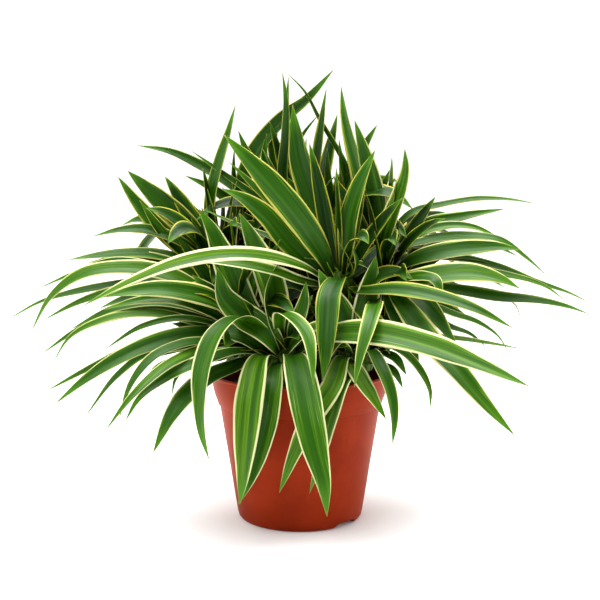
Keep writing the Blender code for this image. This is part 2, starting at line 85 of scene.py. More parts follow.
# Leaves of the frame: name, crown, route points ending at the tip, greatest width, and how far the
# blade is turned about its own line at the base and at the tip, in degrees.
MAIN_LEAVES = (
    ("front_leaf_01", "front_crown",
     ((-5, -50, 119), (0, -76, 110), (4, -92, 92), (9, -101, 70), (14, -106, 50),
     (16, -108, 32)), 21, 0, 0),
    ("front_leaf_02", "front_crown",
     ((-24, -48, 118), (-30, -70, 101), (-33, -78, 72), (-35, -80, 48), (-37, -80, 31)), 20, 0, 0),
    ("front_leaf_03", "front_crown",
     ((-25, -37, 134), (-39, -55, 143), (-51, -72, 136), (-58, -84, 119), (-60, -90, 97),
      (-59, -92, 80), (-55, -91, 62)), 17, 0, 0),
    ("front_leaf_04", "front_crown",
     ((-13, -38, 133), (-12, -48, 145), (-4, -62, 144), (4, -74, 136), (7, -84, 123),
     (8, -88, 107)), 12, 0, 0),
    ("front_leaf_05", "front_crown",
     ((-13, -32, 139), (-18, -25, 161), (-28, -18, 184), (-40, -12, 208)), 20, -70, -75),
    ("front_leaf_06", "front_crown",
     ((-30, -34, 113), (-46, -46, 109), (-63, -66, 103), (-77, -86, 89), (-88, -95, 67)), 16, -20, -30),
    ("front_leaf_07", "front_crown",
     ((8, -40, 127), (40, -60, 135), (78, -80, 130), (107, -100, 121), (132, -112, 111)), 19, 55, 45),
    ("front_leaf_08", "front_crown",
     ((-22, -28, 131), (-36, -25, 146), (-45, -24, 166), (-52, -23, 184), (-58, -22, 198), (-66, -21, 211)),
     20, -70, -70),
    ("low_leaf_01", "low_right_crown",
     ((28, -42, 116), (20, -63, 101), (6, -68, 80), (-4, -67, 58), (-13, -66, 34)), 15, 0, 0),
    ("low_leaf_02", "low_right_crown",
     ((54, -34, 122), (66, -46, 120), (76, -53, 110), (82, -57, 97), (82, -59, 86)), 7, 20, 20),
    ("low_leaf_03", "low_right_crown",
     ((45, -43, 121), (51, -60, 112), (56, -70, 99), (58, -75, 84), (57, -77, 68)), 10, 0, 0),
    ("low_leaf_04", "low_right_crown",
     ((34, -43, 112), (39, -60, 104), (46, -69, 94), (53, -74, 83)), 12, 0, 0),
    ("middle_leaf_01", "middle_crown",
     ((14, -22, 182), (0, -31, 203), (-16, -35, 223), (-33, -37, 242), (-48, -38, 258)), 22, -70, -75),
    ("middle_leaf_02", "middle_crown",
     ((25, -29, 166), (19, -46, 158), (17, -58, 139), (16, -64, 121), (14, -66, 106)), 16, 0, 0),
    ("middle_leaf_03", "middle_crown",
     ((4, -30, 173), (-18, -46, 181), (-45, -62, 184), (-72, -72, 180), (-102, -78, 169), (-131, -80, 154)),
     12, -50, -40),
    ("middle_leaf_04", "middle_crown",
     ((1, -24, 164), (-19, -36, 172), (-40, -44, 177), (-61, -48, 179), (-82, -50, 176)), 11, -50, -40),
    ("middle_leaf_05", "middle_crown",
     ((40, -26, 158), (62, -40, 160), (86, -52, 157), (109, -62, 150), (131, -68, 139)), 12, 50, 40),
    ("middle_leaf_06", "middle_crown",
     ((30, -18, 180), (32, -20, 205), (39, -19, 228), (49, -17, 249)), 14, 80, 80),
    ("middle_leaf_07", "middle_crown",
     ((18, 0, 190), (10, 4, 215), (1, 6, 240), (-3, 7, 262), (-5, 8, 280)), 19, -80, -80),
    ("middle_leaf_08", "middle_crown",
     ((5, -14, 176), (-9, -16, 190), (-22, -17, 206), (-36, -17, 217), (-51, -16, 224)), 17, -70, -70),
    ("right_leaf_01", "right_crown",
     ((54, 12, 190), (53, 13, 208), (50, 13, 224), (45, 12, 243), (37, 11, 270)), 15, 80, 80),
    ("right_leaf_02", "right_crown",
     ((56, -6, 187), (61, -9, 206), (67, -10, 223), (70, -11, 238), (69, -11, 250)), 16, 80, 80),
    ("right_leaf_03", "right_crown",
     ((69, 3, 183), (86, 3, 189), (110, 2, 192), (136, -1, 189), (152, -3, 178),
     (165, -4, 167)), 10, 40, 30),
    ("right_leaf_04", "right_crown",
     ((73, -5, 175), (93, -13, 182), (114, -17, 185), (132, -19, 186), (145, -20, 184)), 14, 55, 50),
    ("right_leaf_05", "right_crown",
     ((75, -22, 165), (93, -31, 169), (112, -37, 170), (130, -41, 166), (140, -43, 161)), 18, 55, 50),
    ("right_leaf_06", "right_crown",
     ((80, 6, 176), (105, 4, 177), (134, 2, 171), (157, 1, 162), (184, 0, 153), (195, 0, 148)), 10, 30, 30),
    ("right_leaf_07", "right_crown",
     ((84, -2, 159), (110, -5, 155), (136, -6, 151), (160, -7, 149), (180, -6, 145),
     (195, -5, 140)), 12, 40, 30),
    ("right_leaf_08", "right_crown",
     ((64, -19, 153), (70, -37, 145), (80, -58, 131), (96, -76, 114), (112, -88, 95),
     (128, -96, 78)), 17, 30, 20),
    ("right_leaf_09", "right_crown",
     ((74, -11, 156), (83, -25, 148), (94, -37, 133), (101, -43, 123)), 14, 30, 20),
    ("right_leaf_10", "right_crown",
     ((49, -25, 150), (47, -50, 150), (42, -68, 139), (37, -77, 124), (33, -80, 104)), 12, 10, 0),
    ("left_leaf_01", "left_crown",
     ((-54, -28, 150), (-73, -42, 158), (-91, -51, 161), (-108, -56, 160), (-121, -58, 157)), 17, -50, -45),
    ("left_leaf_02", "left_crown",
     ((-61, -6, 151), (-93, -6, 162), (-120, -6, 160), (-150, -6, 155), (-175, -6, 148), (-196, -6, 137)),
     10, -35, -30),
    ("left_leaf_03", "left_crown",
     ((-58, -16, 150), (-80, -24, 166), (-111, -28, 173), (-144, -30, 168), (-162, -31, 154),
     (-175, -31, 132)),
     13, -50, -40),
    ("left_leaf_04", "left_crown",
     ((-62, -18, 138), (-86, -26, 144), (-114, -32, 143), (-144, -35, 133), (-167, -36, 118)), 9, -45, -40),
    ("left_leaf_05", "left_crown",
     ((-56, -28, 131), (-77, -48, 131), (-106, -66, 123), (-129, -78, 110), (-148, -86, 95)), 12, -50, -40),
    ("left_leaf_06", "left_crown",
     ((-50, -32, 124), (-68, -62, 122), (-84, -88, 116), (-99, -106, 103), (-112, -118, 86)), 8, -30, -30),
    ("far_left_leaf_01", "far_left_crown",
     ((-72, 26, 190), (-88, 25, 207), (-105, 23, 223), (-119, 22, 236)), 17, -75, -75),
    ("far_left_leaf_02", "far_left_crown",
     ((-78, 18, 180), (-97, 15, 197), (-113, 13, 216), (-124, 12, 232)), 13, -75, -75),
    ("far_left_leaf_03", "far_left_crown",
     ((-62, 20, 195), (-61, 18, 220), (-55, 17, 243), (-49, 16, 262), (-44, 15, 280)), 11, 75, 75),
    ("far_left_leaf_04", "far_left_crown",
     ((-46, 32, 200), (-41, 35, 224), (-33, 37, 247), (-13, 36, 272), (4, 32, 285),
     (23, 25, 305)), 13, 60, 80),
    ("far_left_leaf_05", "far_left_crown",
     ((-76, 11, 174), (-104, 2, 180), (-128, -4, 180), (-154, -9, 177)), 13, -40, -30),
    ("top_leaf_01", "top_crown",
     ((-9, 30, 208), (-13, 28, 232), (-11, 26, 258), (-10, 26, 285), (-12, 26, 303)), 10, -70, -80),
    ("top_leaf_02", "far_right_crown",
     ((47, 28, 200), (41, 22, 233), (36, 20, 251), (31, 19, 271), (28, 19, 293)), 14, 80, 80),
    ("top_leaf_03", "far_right_crown",
     ((62, 33, 190), (78, 30, 207), (100, 28, 213), (125, 27, 217), (150, 26, 216),
     (162, 26, 214)), 7, 40, 40),
    ("back_leaf_01", "top_crown",
     ((6, 60, 203), (10, 84, 213), (14, 103, 200), (16, 118, 168)), 17, 0, 0),
    ("back_leaf_02", "far_right_crown",
     ((60, 58, 188), (84, 78, 196), (106, 94, 184), (122, 104, 158)), 16, 0, 0),
    ("back_leaf_03", "far_left_crown",
     ((-74, 48, 190), (-96, 68, 196), (-116, 84, 182), (-130, 94, 154)), 16, 0, 0),
    ("back_leaf_04", "back_crown",
     ((-20, 64, 120), (-40, 84, 112), (-52, 98, 90), (-58, 106, 60)), 17, 0, 0),
    ("back_leaf_05", "back_crown",
     ((24, 64, 120), (44, 84, 112), (56, 98, 88), (62, 106, 58)), 17, 0, 0),
)

# Finer leaves seen between the large ones: crown, route, width, and turn at the base and the tip.
FINE_LEAVES = (
    ("far_right_crown", ((44, 32, 205), (32, 30, 240), (13, 29, 273), (3, 28, 291),
     (-10, 27, 304)), 4, 80, 80),
    ("top_crown", ((-6, 36, 210), (-9, 35, 240), (-10, 34, 272), (-8, 33, 301)), 8, -70, -70),
    ("top_crown", ((-12, 44, 215), (-8, 46, 240), (2, 46, 262), (13, 45, 276)), 5, 60, 60),
    ("far_right_crown", ((36, 30, 200), (32, 29, 222), (27, 28, 258)), 8, 80, 80),
    ("far_right_crown", ((24, 34, 205), (20, 32, 228), (19, 31, 252)), 8, 80, 80),
    ("far_right_crown", ((30, 26, 200), (27, 25, 220), (25, 24, 238)), 8, 80, 80),
    ("top_crown", ((8, 40, 215), (10, 40, 238), (10, 40, 257)), 7, 80, 80),
    ("top_crown", ((-14, 36, 212), (-25, 34, 231), (-37, 32, 249), (-43, 31, 264)), 11, -75, -75),
    ("far_left_crown", ((-42, 34, 208), (-46, 33, 232), (-46, 32, 252)), 8, -75, -75),
    ("top_crown", ((-6, 40, 214), (-15, 39, 236), (-19, 38, 255), (-15, 38, 274)), 11, -75, -75),
    ("top_crown", ((-12, 32, 206), (-21, 31, 230), (-25, 31, 246), (-23, 31, 262)), 10, -75, -75),
    ("middle_crown", ((6, 10, 180), (-10, 14, 203), (-35, 16, 222), (-55, 18, 236),
     (-75, 20, 250)), 6, -60, -60),
    ("middle_crown", ((8, 4, 185), (-8, 5, 205), (-28, 6, 223), (-48, 8, 242)), 8, -65, -65),
    ("top_crown", ((-22, 42, 194), (-46, 40, 212), (-64, 38, 225), (-81, 36, 233)), 10, -60, -60),
    ("top_crown", ((-18, 42, 202), (-44, 42, 224), (-70, 40, 240), (-92, 38, 250),
     (-114, 36, 254)), 10, -60, -60),
    ("far_left_crown", ((-74, 14, 176), (-94, 10, 194), (-109, 8, 216)), 9, -70, -70),
    ("far_left_crown", ((-63, 14, 190), (-67, 10, 211)), 8, -75, -75),
    ("middle_crown", ((4, -8, 178), (-20, -6, 192), (-42, -4, 200), (-66, -2, 211)), 5, -45, -45),
    ("far_left_crown", ((-76, 14, 184), (-103, 8, 196), (-123, 6, 196), (-140, 5, 192)), 10, -50, -45),
    ("far_left_crown", ((-76, 20, 188), (-95, 16, 198), (-112, 14, 200)), 7, -50, -50),
    ("left_crown", ((-66, 2, 160), (-84, 2, 172), (-112, 2, 179), (-144, 2, 174)), 10, -50, -45),
    ("left_crown", ((-64, -12, 153), (-95, -14, 171), (-122, -15, 176), (-150, -15, 168),
     (-172, -15, 159)), 9, -50, -40),
    ("left_crown", ((-62, -14, 146), (-90, -18, 158), (-115, -20, 158), (-145, -21, 150),
     (-169, -22, 138)), 10, -50, -40),
    ("left_crown", ((-60, -32, 145), (-84, -42, 154), (-106, -48, 153), (-124, -50, 148)), 10, -50, -45),
    ("left_crown", ((-60, -22, 142), (-90, -31, 151), (-120, -36, 147), (-148, -38, 134)), 9, -50, -40),
    ("left_crown", ((-60, -24, 134), (-95, -36, 144), (-125, -42, 141), (-148, -44, 129),
     (-158, -45, 114)), 8, -45, -40),
    ("left_crown", ((-56, -26, 136), (-78, -38, 141), (-100, -44, 137), (-125, -47, 122)), 6, -40, -40),
    ("left_crown", ((-50, -36, 126), (-72, -60, 128), (-90, -76, 122), (-102, -88, 107),
     (-108, -94, 88)), 8, -35, -30),
    ("front_crown", ((-40, -44, 121), (-70, -60, 120), (-90, -70, 114), (-97, -73, 103)), 6, -30, -30),
    ("front_crown", ((-34, -42, 120), (-60, -66, 118), (-82, -86, 110), (-96, -99, 100),
     (-103, -104, 88)), 10, -30, -30),
    ("left_crown", ((-56, -22, 132), (-80, -28, 127), (-105, -30, 122), (-132, -28, 110),
     (-169, -20, 90)), 7, -45, -40),
    ("left_crown", ((-52, -24, 128), (-76, -30, 122), (-100, -30, 117), (-119, -26, 103),
     (-144, -20, 72)), 7, -40, -35),
    ("left_crown", ((-52, -20, 122), (-80, -24, 118), (-99, -24, 112), (-111, -22, 97),
     (-121, -20, 75)), 5, -40, -30),
    ("left_crown", ((-50, -30, 118), (-72, -44, 118), (-84, -50, 110), (-90, -52, 98)), 7, -35, -30),
    ("left_crown", ((-50, -28, 114), (-70, -40, 112), (-80, -46, 102), (-82, -48, 92)), 6, -30, -30),
    ("front_crown", ((-15, -42, 124), (-24, -40, 134), (-36, -38, 142), (-48, -38, 154),
     (-53, -38, 174)), 20, -60, -60),
    ("front_crown", ((-14, -40, 126), (-19, -36, 138), (-22, -34, 153), (-19, -32, 166),
     (-11, -30, 180)), 18, -65, -65),
    ("front_crown", ((-24, -36, 120), (-36, -34, 128), (-62, -32, 130), (-80, -30, 122)), 16, -45, -40),
    ("front_crown", ((-6, -42, 122), (2, -48, 132), (12, -52, 138), (24, -54, 136)), 12, 50, 50),
    ("low_right_crown", ((52, -26, 116), (62, -34, 114), (69, -38, 104)), 9, 20, 20),
    ("low_right_crown", ((50, -32, 110), (60, -42, 107), (66, -46, 97)), 9, 10, 10),
    ("low_right_crown", ((33, -46, 106), (27, -60, 103), (20, -63, 82), (13, -62, 56),
     (6, -61, 32)), 11, 0, 0),
    ("front_crown", ((-15, -47, 112), (-17, -65, 103), (-22, -69, 74), (-29, -70, 50),
     (-39, -70, 27)), 15, 0, 0),
    ("low_right_crown", ((66, -22, 124), (100, -30, 127), (124, -33, 124), (143, -35, 121)), 6, 40, 30),
    ("right_crown", ((82, -14, 150), (100, -18, 142), (118, -20, 136), (131, -21, 127),
     (138, -22, 117)), 7, 30, 20),
    ("right_crown", ((80, -18, 148), (98, -23, 134), (112, -26, 129), (122, -28, 121)), 7, 30, 20),
    ("right_crown", ((84, 8, 164), (112, 6, 156), (138, 4, 150), (147, 3, 145), (151, 3, 136)), 9, 30, 10),
    ("right_crown", ((84, 0, 168), (112, -4, 169), (140, -8, 166), (164, -10, 159),
     (176, -11, 151)), 9, 40, 30),
    ("right_crown", ((78, 6, 180), (104, 6, 178), (122, 5, 176), (134, 4, 172)), 8, 40, 30),
    ("right_crown", ((72, 10, 184), (85, 8, 195), (100, 7, 199), (118, 6, 198), (137, 5, 190)), 8, 50, 40),
    ("right_crown", ((72, 16, 184), (86, 17, 198), (113, 18, 205), (141, 18, 210)), 10, 55, 50),
    ("right_crown", ((60, -10, 178), (63, -14, 186), (66, -17, 196)), 9, 80, 80),
    ("middle_crown", ((34, -18, 170), (31, -24, 180), (25, -27, 190)), 6, -60, -60),
    ("middle_crown", ((36, -16, 168), (38, -22, 176), (34, -26, 186)), 7, 60, 60),
    ("right_crown", ((46, -10, 166), (42, -18, 174), (34, -22, 176)), 10, -50, -40),
    ("right_crown", ((68, -18, 164), (78, -34, 167), (86, -42, 166), (90, -48, 155)), 15, 40, 20),
    ("right_crown", ((82, -6, 152), (100, -9, 144), (114, -10, 138)), 11, 40, 30),
    ("right_crown", ((80, 2, 150), (104, 0, 140), (122, -2, 134)), 8, 40, 30),
    ("right_crown", ((60, -16, 150), (66, -30, 136), (72, -42, 124), (76, -48, 112)), 12, 20, 10),
    ("low_right_crown", ((30, -36, 122), (24, -46, 126), (16, -58, 116), (14, -62, 104)), 8, 0, 0),
    ("front_crown", ((-4, -36, 134), (2, -34, 150), (4, -30, 164)), 10, 75, 75),
    ("left_crown", ((-46, -20, 142), (-58, -26, 156), (-70, -28, 168)), 14, -70, -70),
    ("top_crown", ((-4, 30, 190), (-14, 28, 206), (-26, 24, 224)), 20, -75, -75),
    ("top_crown", ((-8, 26, 186), (-24, 18, 192), (-48, 10, 202)), 18, -60, -60),
    ("left_crown", ((-36, -4, 144), (-30, 0, 162), (-20, 4, 184), (-12, 6, 204)), 20, 75, 75),
    ("left_crown", ((-40, 0, 144), (-44, 6, 164), (-45, 10, 188), (-41, 12, 210)), 20, -75, -75),
    ("right_crown", ((50, -8, 152), (45, -18, 142), (42, -28, 128), (44, -34, 116)), 17, 10, 10),
    ("middle_crown", ((34, -18, 150), (42, -26, 144), (52, -34, 132), (58, -38, 118)), 15, 30, 20),
    ("low_right_crown", ((38, -26, 126), (42, -24, 144), (46, -20, 162), (50, -18, 180)), 18, 75, 75),
    ("low_right_crown", ((34, -28, 126), (28, -30, 142), (18, -30, 158), (12, -28, 172)), 17, -70, -70),
    ("left_crown", ((-34, -16, 146), (-30, -18, 164), (-22, -18, 182)), 12, 75, 75),
)

# Leaves that close the inside and the back of the plant: crown, how many, first heading in degrees
# from +X, the reach, how high the outermost and the innermost ones climb, and how far down the stem
# they start. Their headings step round by the golden angle.
FILL_GROUPS = (
    ("front_crown", 6, 150.0, 66.0, 10.0, 44.0, 0.0),
    ("middle_crown", 10, 20.0, 84.0, 24.0, 72.0, 0.0),
    ("right_crown", 12, 0.0, 98.0, 22.0, 60.0, 0.0),
    ("left_crown", 13, 170.0, 96.0, 18.0, 66.0, 0.0),
    ("far_left_crown", 15, 100.0, 92.0, 22.0, 52.0, 0.0),
    ("top_crown", 16, 60.0, 100.0, 32.0, 84.0, 0.0),
    ("far_right_crown", 15, 30.0, 100.0, 26.0, 62.0, 0.0),
    ("low_right_crown", 8, -20.0, 60.0, 12.0, 40.0, 0.0),
    ("back_crown", 16, 90.0, 94.0, 16.0, 60.0, 0.0),
    ("front_crown", 6, 200.0, 60.0, 4.0, 12.0, 0.0),
    ("left_crown", 8, 140.0, 76.0, 2.0, 10.0, 0.0),
    ("low_right_crown", 6, 0.0, 52.0, 4.0, 12.0, 0.0),
    ("back_crown", 10, 0.0, 92.0, 4.0, 14.0, 0.0),
    ("middle_crown", 9, 60.0, 74.0, 26.0, 60.0, 28.0),
    ("right_crown", 12, 10.0, 92.0, 24.0, 56.0, 24.0),
    ("right_crown", 10, 40.0, 84.0, 22.0, 50.0, 48.0),
    ("far_left_crown", 13, 130.0, 92.0, 24.0, 56.0, 26.0),
    ("far_left_crown", 12, 90.0, 88.0, 22.0, 50.0, 54.0),
    ("top_crown", 12, 80.0, 84.0, 28.0, 60.0, 26.0),
    ("top_crown", 12, 110.0, 78.0, 24.0, 56.0, 58.0),
    ("far_right_crown", 13, 50.0, 88.0, 26.0, 56.0, 26.0),
    ("far_right_crown", 12, 80.0, 84.0, 24.0, 50.0, 54.0),
    ("left_crown", 8, 120.0, 80.0, 14.0, 40.0, 22.0),
)
GOLDEN_ANGLE = 137.508

# Settings that several shader nodes share.
ABSOLUTE = {"operation": "ABSOLUTE"}
ADD = {"operation": "ADD"}
MULTIPLY = {"operation": "MULTIPLY"}
MULTIPLY_ADD = {"operation": "MULTIPLY_ADD"}
SUBTRACT = {"operation": "SUBTRACT"}
MAXIMUM = {"operation": "MAXIMUM"}
MINIMUM = {"operation": "MINIMUM"}
COLOURS = {"data_type": "RGBA"}
SMOOTH = {"interpolation_type": "SMOOTHSTEP"}


class Tone(Enum):
    """A blade's share of light green (over 1 for the palest blades), and how yellow its edges are; the
    inner tone's near-zero share is painted shade.
    """

    # Painted shade: leaves inside the plant get almost no light green, so they come out dark.
    SHADED_INNER = (0.02, 1.0)
    UPPER = (0.48, 0.85)
    OUTER = (0.60, 0.45)
    FRONT = (0.72, 0.10)
    PALE = (1.42, 0.0)


PALE_LEAVES = ("middle_leaf_03", "middle_leaf_04")
CROWN_TONES = {
    "front_crown": Tone.FRONT,
    "middle_crown": Tone.UPPER,
    "right_crown": Tone.OUTER,
    "left_crown": Tone.OUTER,
    "far_left_crown": Tone.UPPER,
    "top_crown": Tone.UPPER,
    "far_right_crown": Tone.UPPER,
    "low_right_crown": Tone.FRONT,
    "back_crown": Tone.OUTER,
}


def linear(code: str) -> tuple[float, float, float, float]:
    """Turn an sRGB hex colour into linear RGBA.

    Args:
        code: six hex digits, such as "4C8A24".

    Returns:
        The linear colour with alpha 1.
    """
    parts = [int(code[start:start + 2], 16) / 255.0 for start in (0, 2, 4)]
    values = [part / 12.92 if part <= 0.04045 else ((part + 0.055) / 1.055) ** 2.4 for part in parts]
    return (values[0], values[1], values[2], 1.0)


def per_metre(size_mm: float) -> float:
    """Pattern scale, in object space, for a feature of a size in millimetres."""
    return 1.0 / (size_mm * MM)


def add_object(name: str, data: Any) -> Any:
    """Link a new object with its data to the scene.

    Args:
        name: the object's name.
        data: its mesh, light or camera.

    Returns:
        The object.
    """
    made = bpy.data.objects.new(name, data)
    bpy.context.collection.objects.link(made)
    return made


def make_piece(name: str, mesh: Any, material: Any) -> Any:
    """Make a mesh an object that rides on the plant, with its material.

    Args:
        name: the piece's name.
        mesh: its mesh.
        material: its one material.

    Returns:
        The object.
    """
    mesh.materials.append(material)
    piece = add_object(name, mesh)
    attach(piece, BODY)
    return piece


class ShaderGraph:
    """A material's or a world's node tree."""

    def __init__(self, owner: Any) -> None:
        """Clear the tree.

        Args:
            owner: the material or world.
        """
        owner.use_nodes = True
        self.tree = owner.node_tree
        self.tree.nodes.clear()

    def add(self, kind: str, settings: Settings | None = None, out: int | str = 0, **inputs: Any) -> Any:
        """Add a node with its settings and links.

        Args:
            kind: the node's type name without its "ShaderNode" prefix.
            settings: node properties to set.
            out: the output to give back, by index or name.
            inputs: input sockets by name in lower case with underscores, or by "i" and an index;
                the value is a constant or an output socket to link.

        Returns:
            The chosen output, or None for a node that has no outputs.
        """
        node = self.tree.nodes.new("ShaderNode" + kind)
        for name, value in (settings or {}).items():
            setattr(node, name, value)
        for name, value in inputs.items():
            if name[0] == "i" and name[1:].isdigit():
                socket = node.inputs[int(name[1:])]
            else:
                socket = next(item for item in node.inputs if item.name.lower().replace(" ", "_") == name)
            if isinstance(value, bpy.types.NodeSocket):
                self.tree.links.new(value, socket)
            else:
                socket.default_value = value
        return node.outputs[out] if node.outputs else None


@dataclass(frozen=True)
class LeafFinish:
    """Living leaf: a waxy skin over green tissue, with pale bands where the cells hold no green."""

    deep: str = "153205"
    middle: str = "2E5B06"
    light: str = "6E961C"
    cream: str = "D6D6A4"
    yellow: str = "B0A83C"
    tip: str = "4F7F14"
    dry: str = "8A7A3C"
    roughness: float = 0.38
    roughness_spread: float = 0.16
    specular: float = 0.28
    ior: float = 1.45
    broad_streak_mm: float = 2.9412
    narrow_streak_mm: float = 0.52632
    vein_pitch_mm: float = 0.62
    vein_height_mm: float = 0.05
    seed_drift: float = 40.0
    streak_run: float = 1.6
    edge_run: float = 3.0
    edge_wander: float = 0.20
    edge_spread: float = 0.09

    def build(self) -> Any:
        """Make the leaf material.

        Returns:
            The material.
        """
        material = bpy.data.materials.new("leaf_waxy_variegated")
        graph = ShaderGraph(material)
        across, along, half, seed = self.values(graph, "across", "along", "half_mm", "seed")
        side_mm = graph.add("Math", MULTIPLY, i0=across, i1=half)
        drift = graph.add("Math", MULTIPLY, i0=seed, i1=self.seed_drift)
        run = graph.add("Math", MULTIPLY, i0=along, i1=self.streak_run)
        place = graph.add("CombineXYZ", i0=side_mm, i1=run, i2=drift)
        # Streaks that run the blade's whole length make it read as a strap leaf and not as paint.
        broad = graph.add("TexNoise", vector=place, scale=1.0 / self.broad_streak_mm, detail=2.0)
        narrow = graph.add("TexNoise", vector=place, scale=1.0 / self.narrow_streak_mm, detail=3.0)
        colour = self.banded(graph, self.edge_place(graph, drift), broad, narrow)
        # Painted shade darkens the blade's foot; the tip turns plain green and then dry.
        colour = self.tip_and_painted_foot_shade(graph, colour, along)
        # Raised parallel veins break up the waxy highlight across the blade.
        turns = graph.add("Math", MULTIPLY, i0=side_mm, i1=2.0 * math.pi / self.vein_pitch_mm)
        vein = graph.add("Math", {"operation": "SINE"}, i0=turns)
        ribs = graph.add("Math", MULTIPLY, i0=narrow, i1=1.2)
        height = graph.add("Math", MULTIPLY_ADD, i0=vein, i1=0.5, i2=ribs)
        normal = graph.add("Bump", strength=0.55, distance=self.vein_height_mm * MM, height=height)
        least = self.roughness - 0.06
        gloss = graph.add("Math", MULTIPLY_ADD, i0=broad, i1=self.roughness_spread, i2=least)
        shader = graph.add("BsdfPrincipled", base_color=colour, roughness=gloss, ior=self.ior,
                           specular_ior_level=self.specular, normal=normal)
        graph.add("OutputMaterial", surface=shader)
        return material

    @staticmethod
    def values(graph: ShaderGraph, *names: str) -> list[Any]:
        """Outputs that read the mesh's own values."""
        return [graph.add("Attribute", {"attribute_name": name}, out="Fac") for name in names]

    def edge_place(self, graph: ShaderGraph, drift: Any) -> Any:
        """How near a point is to the pale edge, which wanders along the blade.

        Args:
            graph: the material's nodes.
            drift: the blade's own place in the noise.

        Returns:
            About 0 at the middle and 1 at the edge, more on pale blades.
        """
        across, along, seed, tone, warm = self.values(graph, "across", "along", "seed", "tone", "warm")
        side = graph.add("Math", {"operation": "SIGN"}, i0=across)
        run = graph.add("Math", MULTIPLY, i0=along, i1=self.edge_run)
        place = graph.add("CombineXYZ", i0=side, i1=run, i2=drift)
        wander = graph.add("TexNoise", vector=place, scale=1.0, detail=2.0)
        jitter = graph.add("Math", SUBTRACT, i0=wander, i1=0.5)
        over = graph.add("Math", SUBTRACT, i0=tone, i1=1.0)
        pale = graph.add("Math", MAXIMUM, i0=over, i1=0.0)
        own = graph.add("Math", SUBTRACT, i0=seed, i1=0.6)
        shift = graph.add("Math", ABSOLUTE, i0=across)
        shift = graph.add("Math", MULTIPLY_ADD, i0=jitter, i1=self.edge_wander, i2=shift)
        shift = graph.add("Math", MULTIPLY_ADD, i0=pale, i1=0.45, i2=shift)
        shift = graph.add("Math", MULTIPLY_ADD, i0=warm, i1=-0.045, i2=shift)
        return graph.add("Math", MULTIPLY_ADD, i0=own, i1=self.edge_spread, i2=shift)

    def banded(self, graph: ShaderGraph, shift: Any, broad: Any, narrow: Any) -> Any:
        """Green streaks, the pale edges, and the thin pale lines beside them.

        Args:
            graph: the material's nodes.
            shift: how near a point is to the pale edge.
            broad: broad streak pattern.
            narrow: narrow streak pattern.

        Returns:
            The colour.
        """
        across, tone, warm = self.values(graph, "across", "tone", "warm")
        capped = graph.add("Math", MINIMUM, i0=tone, i1=0.8)
        green = graph.add("Math", MULTIPLY, i0=narrow, i1=0.5)
        green = graph.add("Math", MULTIPLY_ADD, i0=broad, i1=0.9, i2=green)
        green = graph.add("Math", MULTIPLY_ADD, i0=capped, i1=0.62, i2=green)
        to_middle = graph.add("MapRange", SMOOTH, i0=green, i1=0.55, i2=1.12)
        to_light = graph.add("MapRange", SMOOTH, i0=green, i1=1.02, i2=1.62)
        middle, light = linear(self.middle), linear(self.light)
        base = graph.add("Mix", COLOURS, out=2, i0=to_middle, i6=linear(self.deep), i7=middle)
        base = graph.add("Mix", COLOURS, out=2, i0=to_light, i6=base, i7=light)
        near_edge = graph.add("MapRange", SMOOTH, i0=shift, i1=0.50, i2=0.74)
        streaked = graph.add("MapRange", SMOOTH, i0=narrow, i1=0.48, i2=0.62)
        beside = graph.add("Math", MULTIPLY, i0=near_edge, i1=streaked)
        beside = graph.add("Math", MULTIPLY, i0=beside, i1=0.75)
        base = graph.add("Mix", COLOURS, out=2, i0=beside, i6=base, i7=light)
        pale = graph.add("Mix", COLOURS, out=2, i0=warm, i6=linear(self.cream), i7=linear(self.yellow))
        over = graph.add("Math", SUBTRACT, i0=tone, i1=1.0)
        over = graph.add("Math", MAXIMUM, i0=over, i1=0.0)
        edge = graph.add("Math", ABSOLUTE, i0=across)
        lined = graph.add("Math", ADD, i0=edge, i1=over)
        lined = graph.add("MapRange", SMOOTH, i0=lined, i1=0.38, i2=0.66)
        line = graph.add("MapRange", SMOOTH, i0=narrow, i1=0.66, i2=0.72)
        line = graph.add("Math", MULTIPLY, i0=line, i1=lined)
        strength = graph.add("Math", {"operation": "ADD", "use_clamp": True}, i0=over, i1=0.45)
        line = graph.add("Math", MULTIPLY, i0=line, i1=strength)
        margin = graph.add("MapRange", SMOOTH, i0=shift, i1=0.79, i2=0.87)
        share = graph.add("Math", MAXIMUM, i0=margin, i1=line)
        return graph.add("Mix", COLOURS, out=2, i0=share, i6=base, i7=pale)

    def tip_and_painted_foot_shade(self, graph: ShaderGraph, colour: Any, along: Any) -> Any:
        """Darken the blade's foot as painted shade, and turn its tip plain green and then dry.

        Args:
            graph: the material's nodes.
            colour: the blade's colour.
            along: 0 at the foot and 1 at the tip.

        Returns:
            The colour with both ends changed.
        """
        fade = graph.add("MapRange", SMOOTH, i0=along, i1=0.80, i2=0.97)
        fade = graph.add("Math", MULTIPLY, i0=fade, i1=0.75)
        colour = graph.add("Mix", COLOURS, out=2, i0=fade, i6=colour, i7=linear(self.tip))
        dry = graph.add("MapRange", SMOOTH, i0=along, i1=0.965, i2=1.0)
        colour = graph.add("Mix", COLOURS, out=2, i0=dry, i6=colour, i7=linear(self.dry))
        # Painted shade: the foot runs to the deepest green, where the plant's inside is shaded.
        foot = graph.add("MapRange", SMOOTH, i0=along, i1=0.0, i2=0.20)
        foot = graph.add("Math", MULTIPLY_ADD, i0=foot, i1=-0.55, i2=0.55)
        return graph.add("Mix", COLOURS, out=2, i0=foot, i6=colour, i7=linear(self.deep))


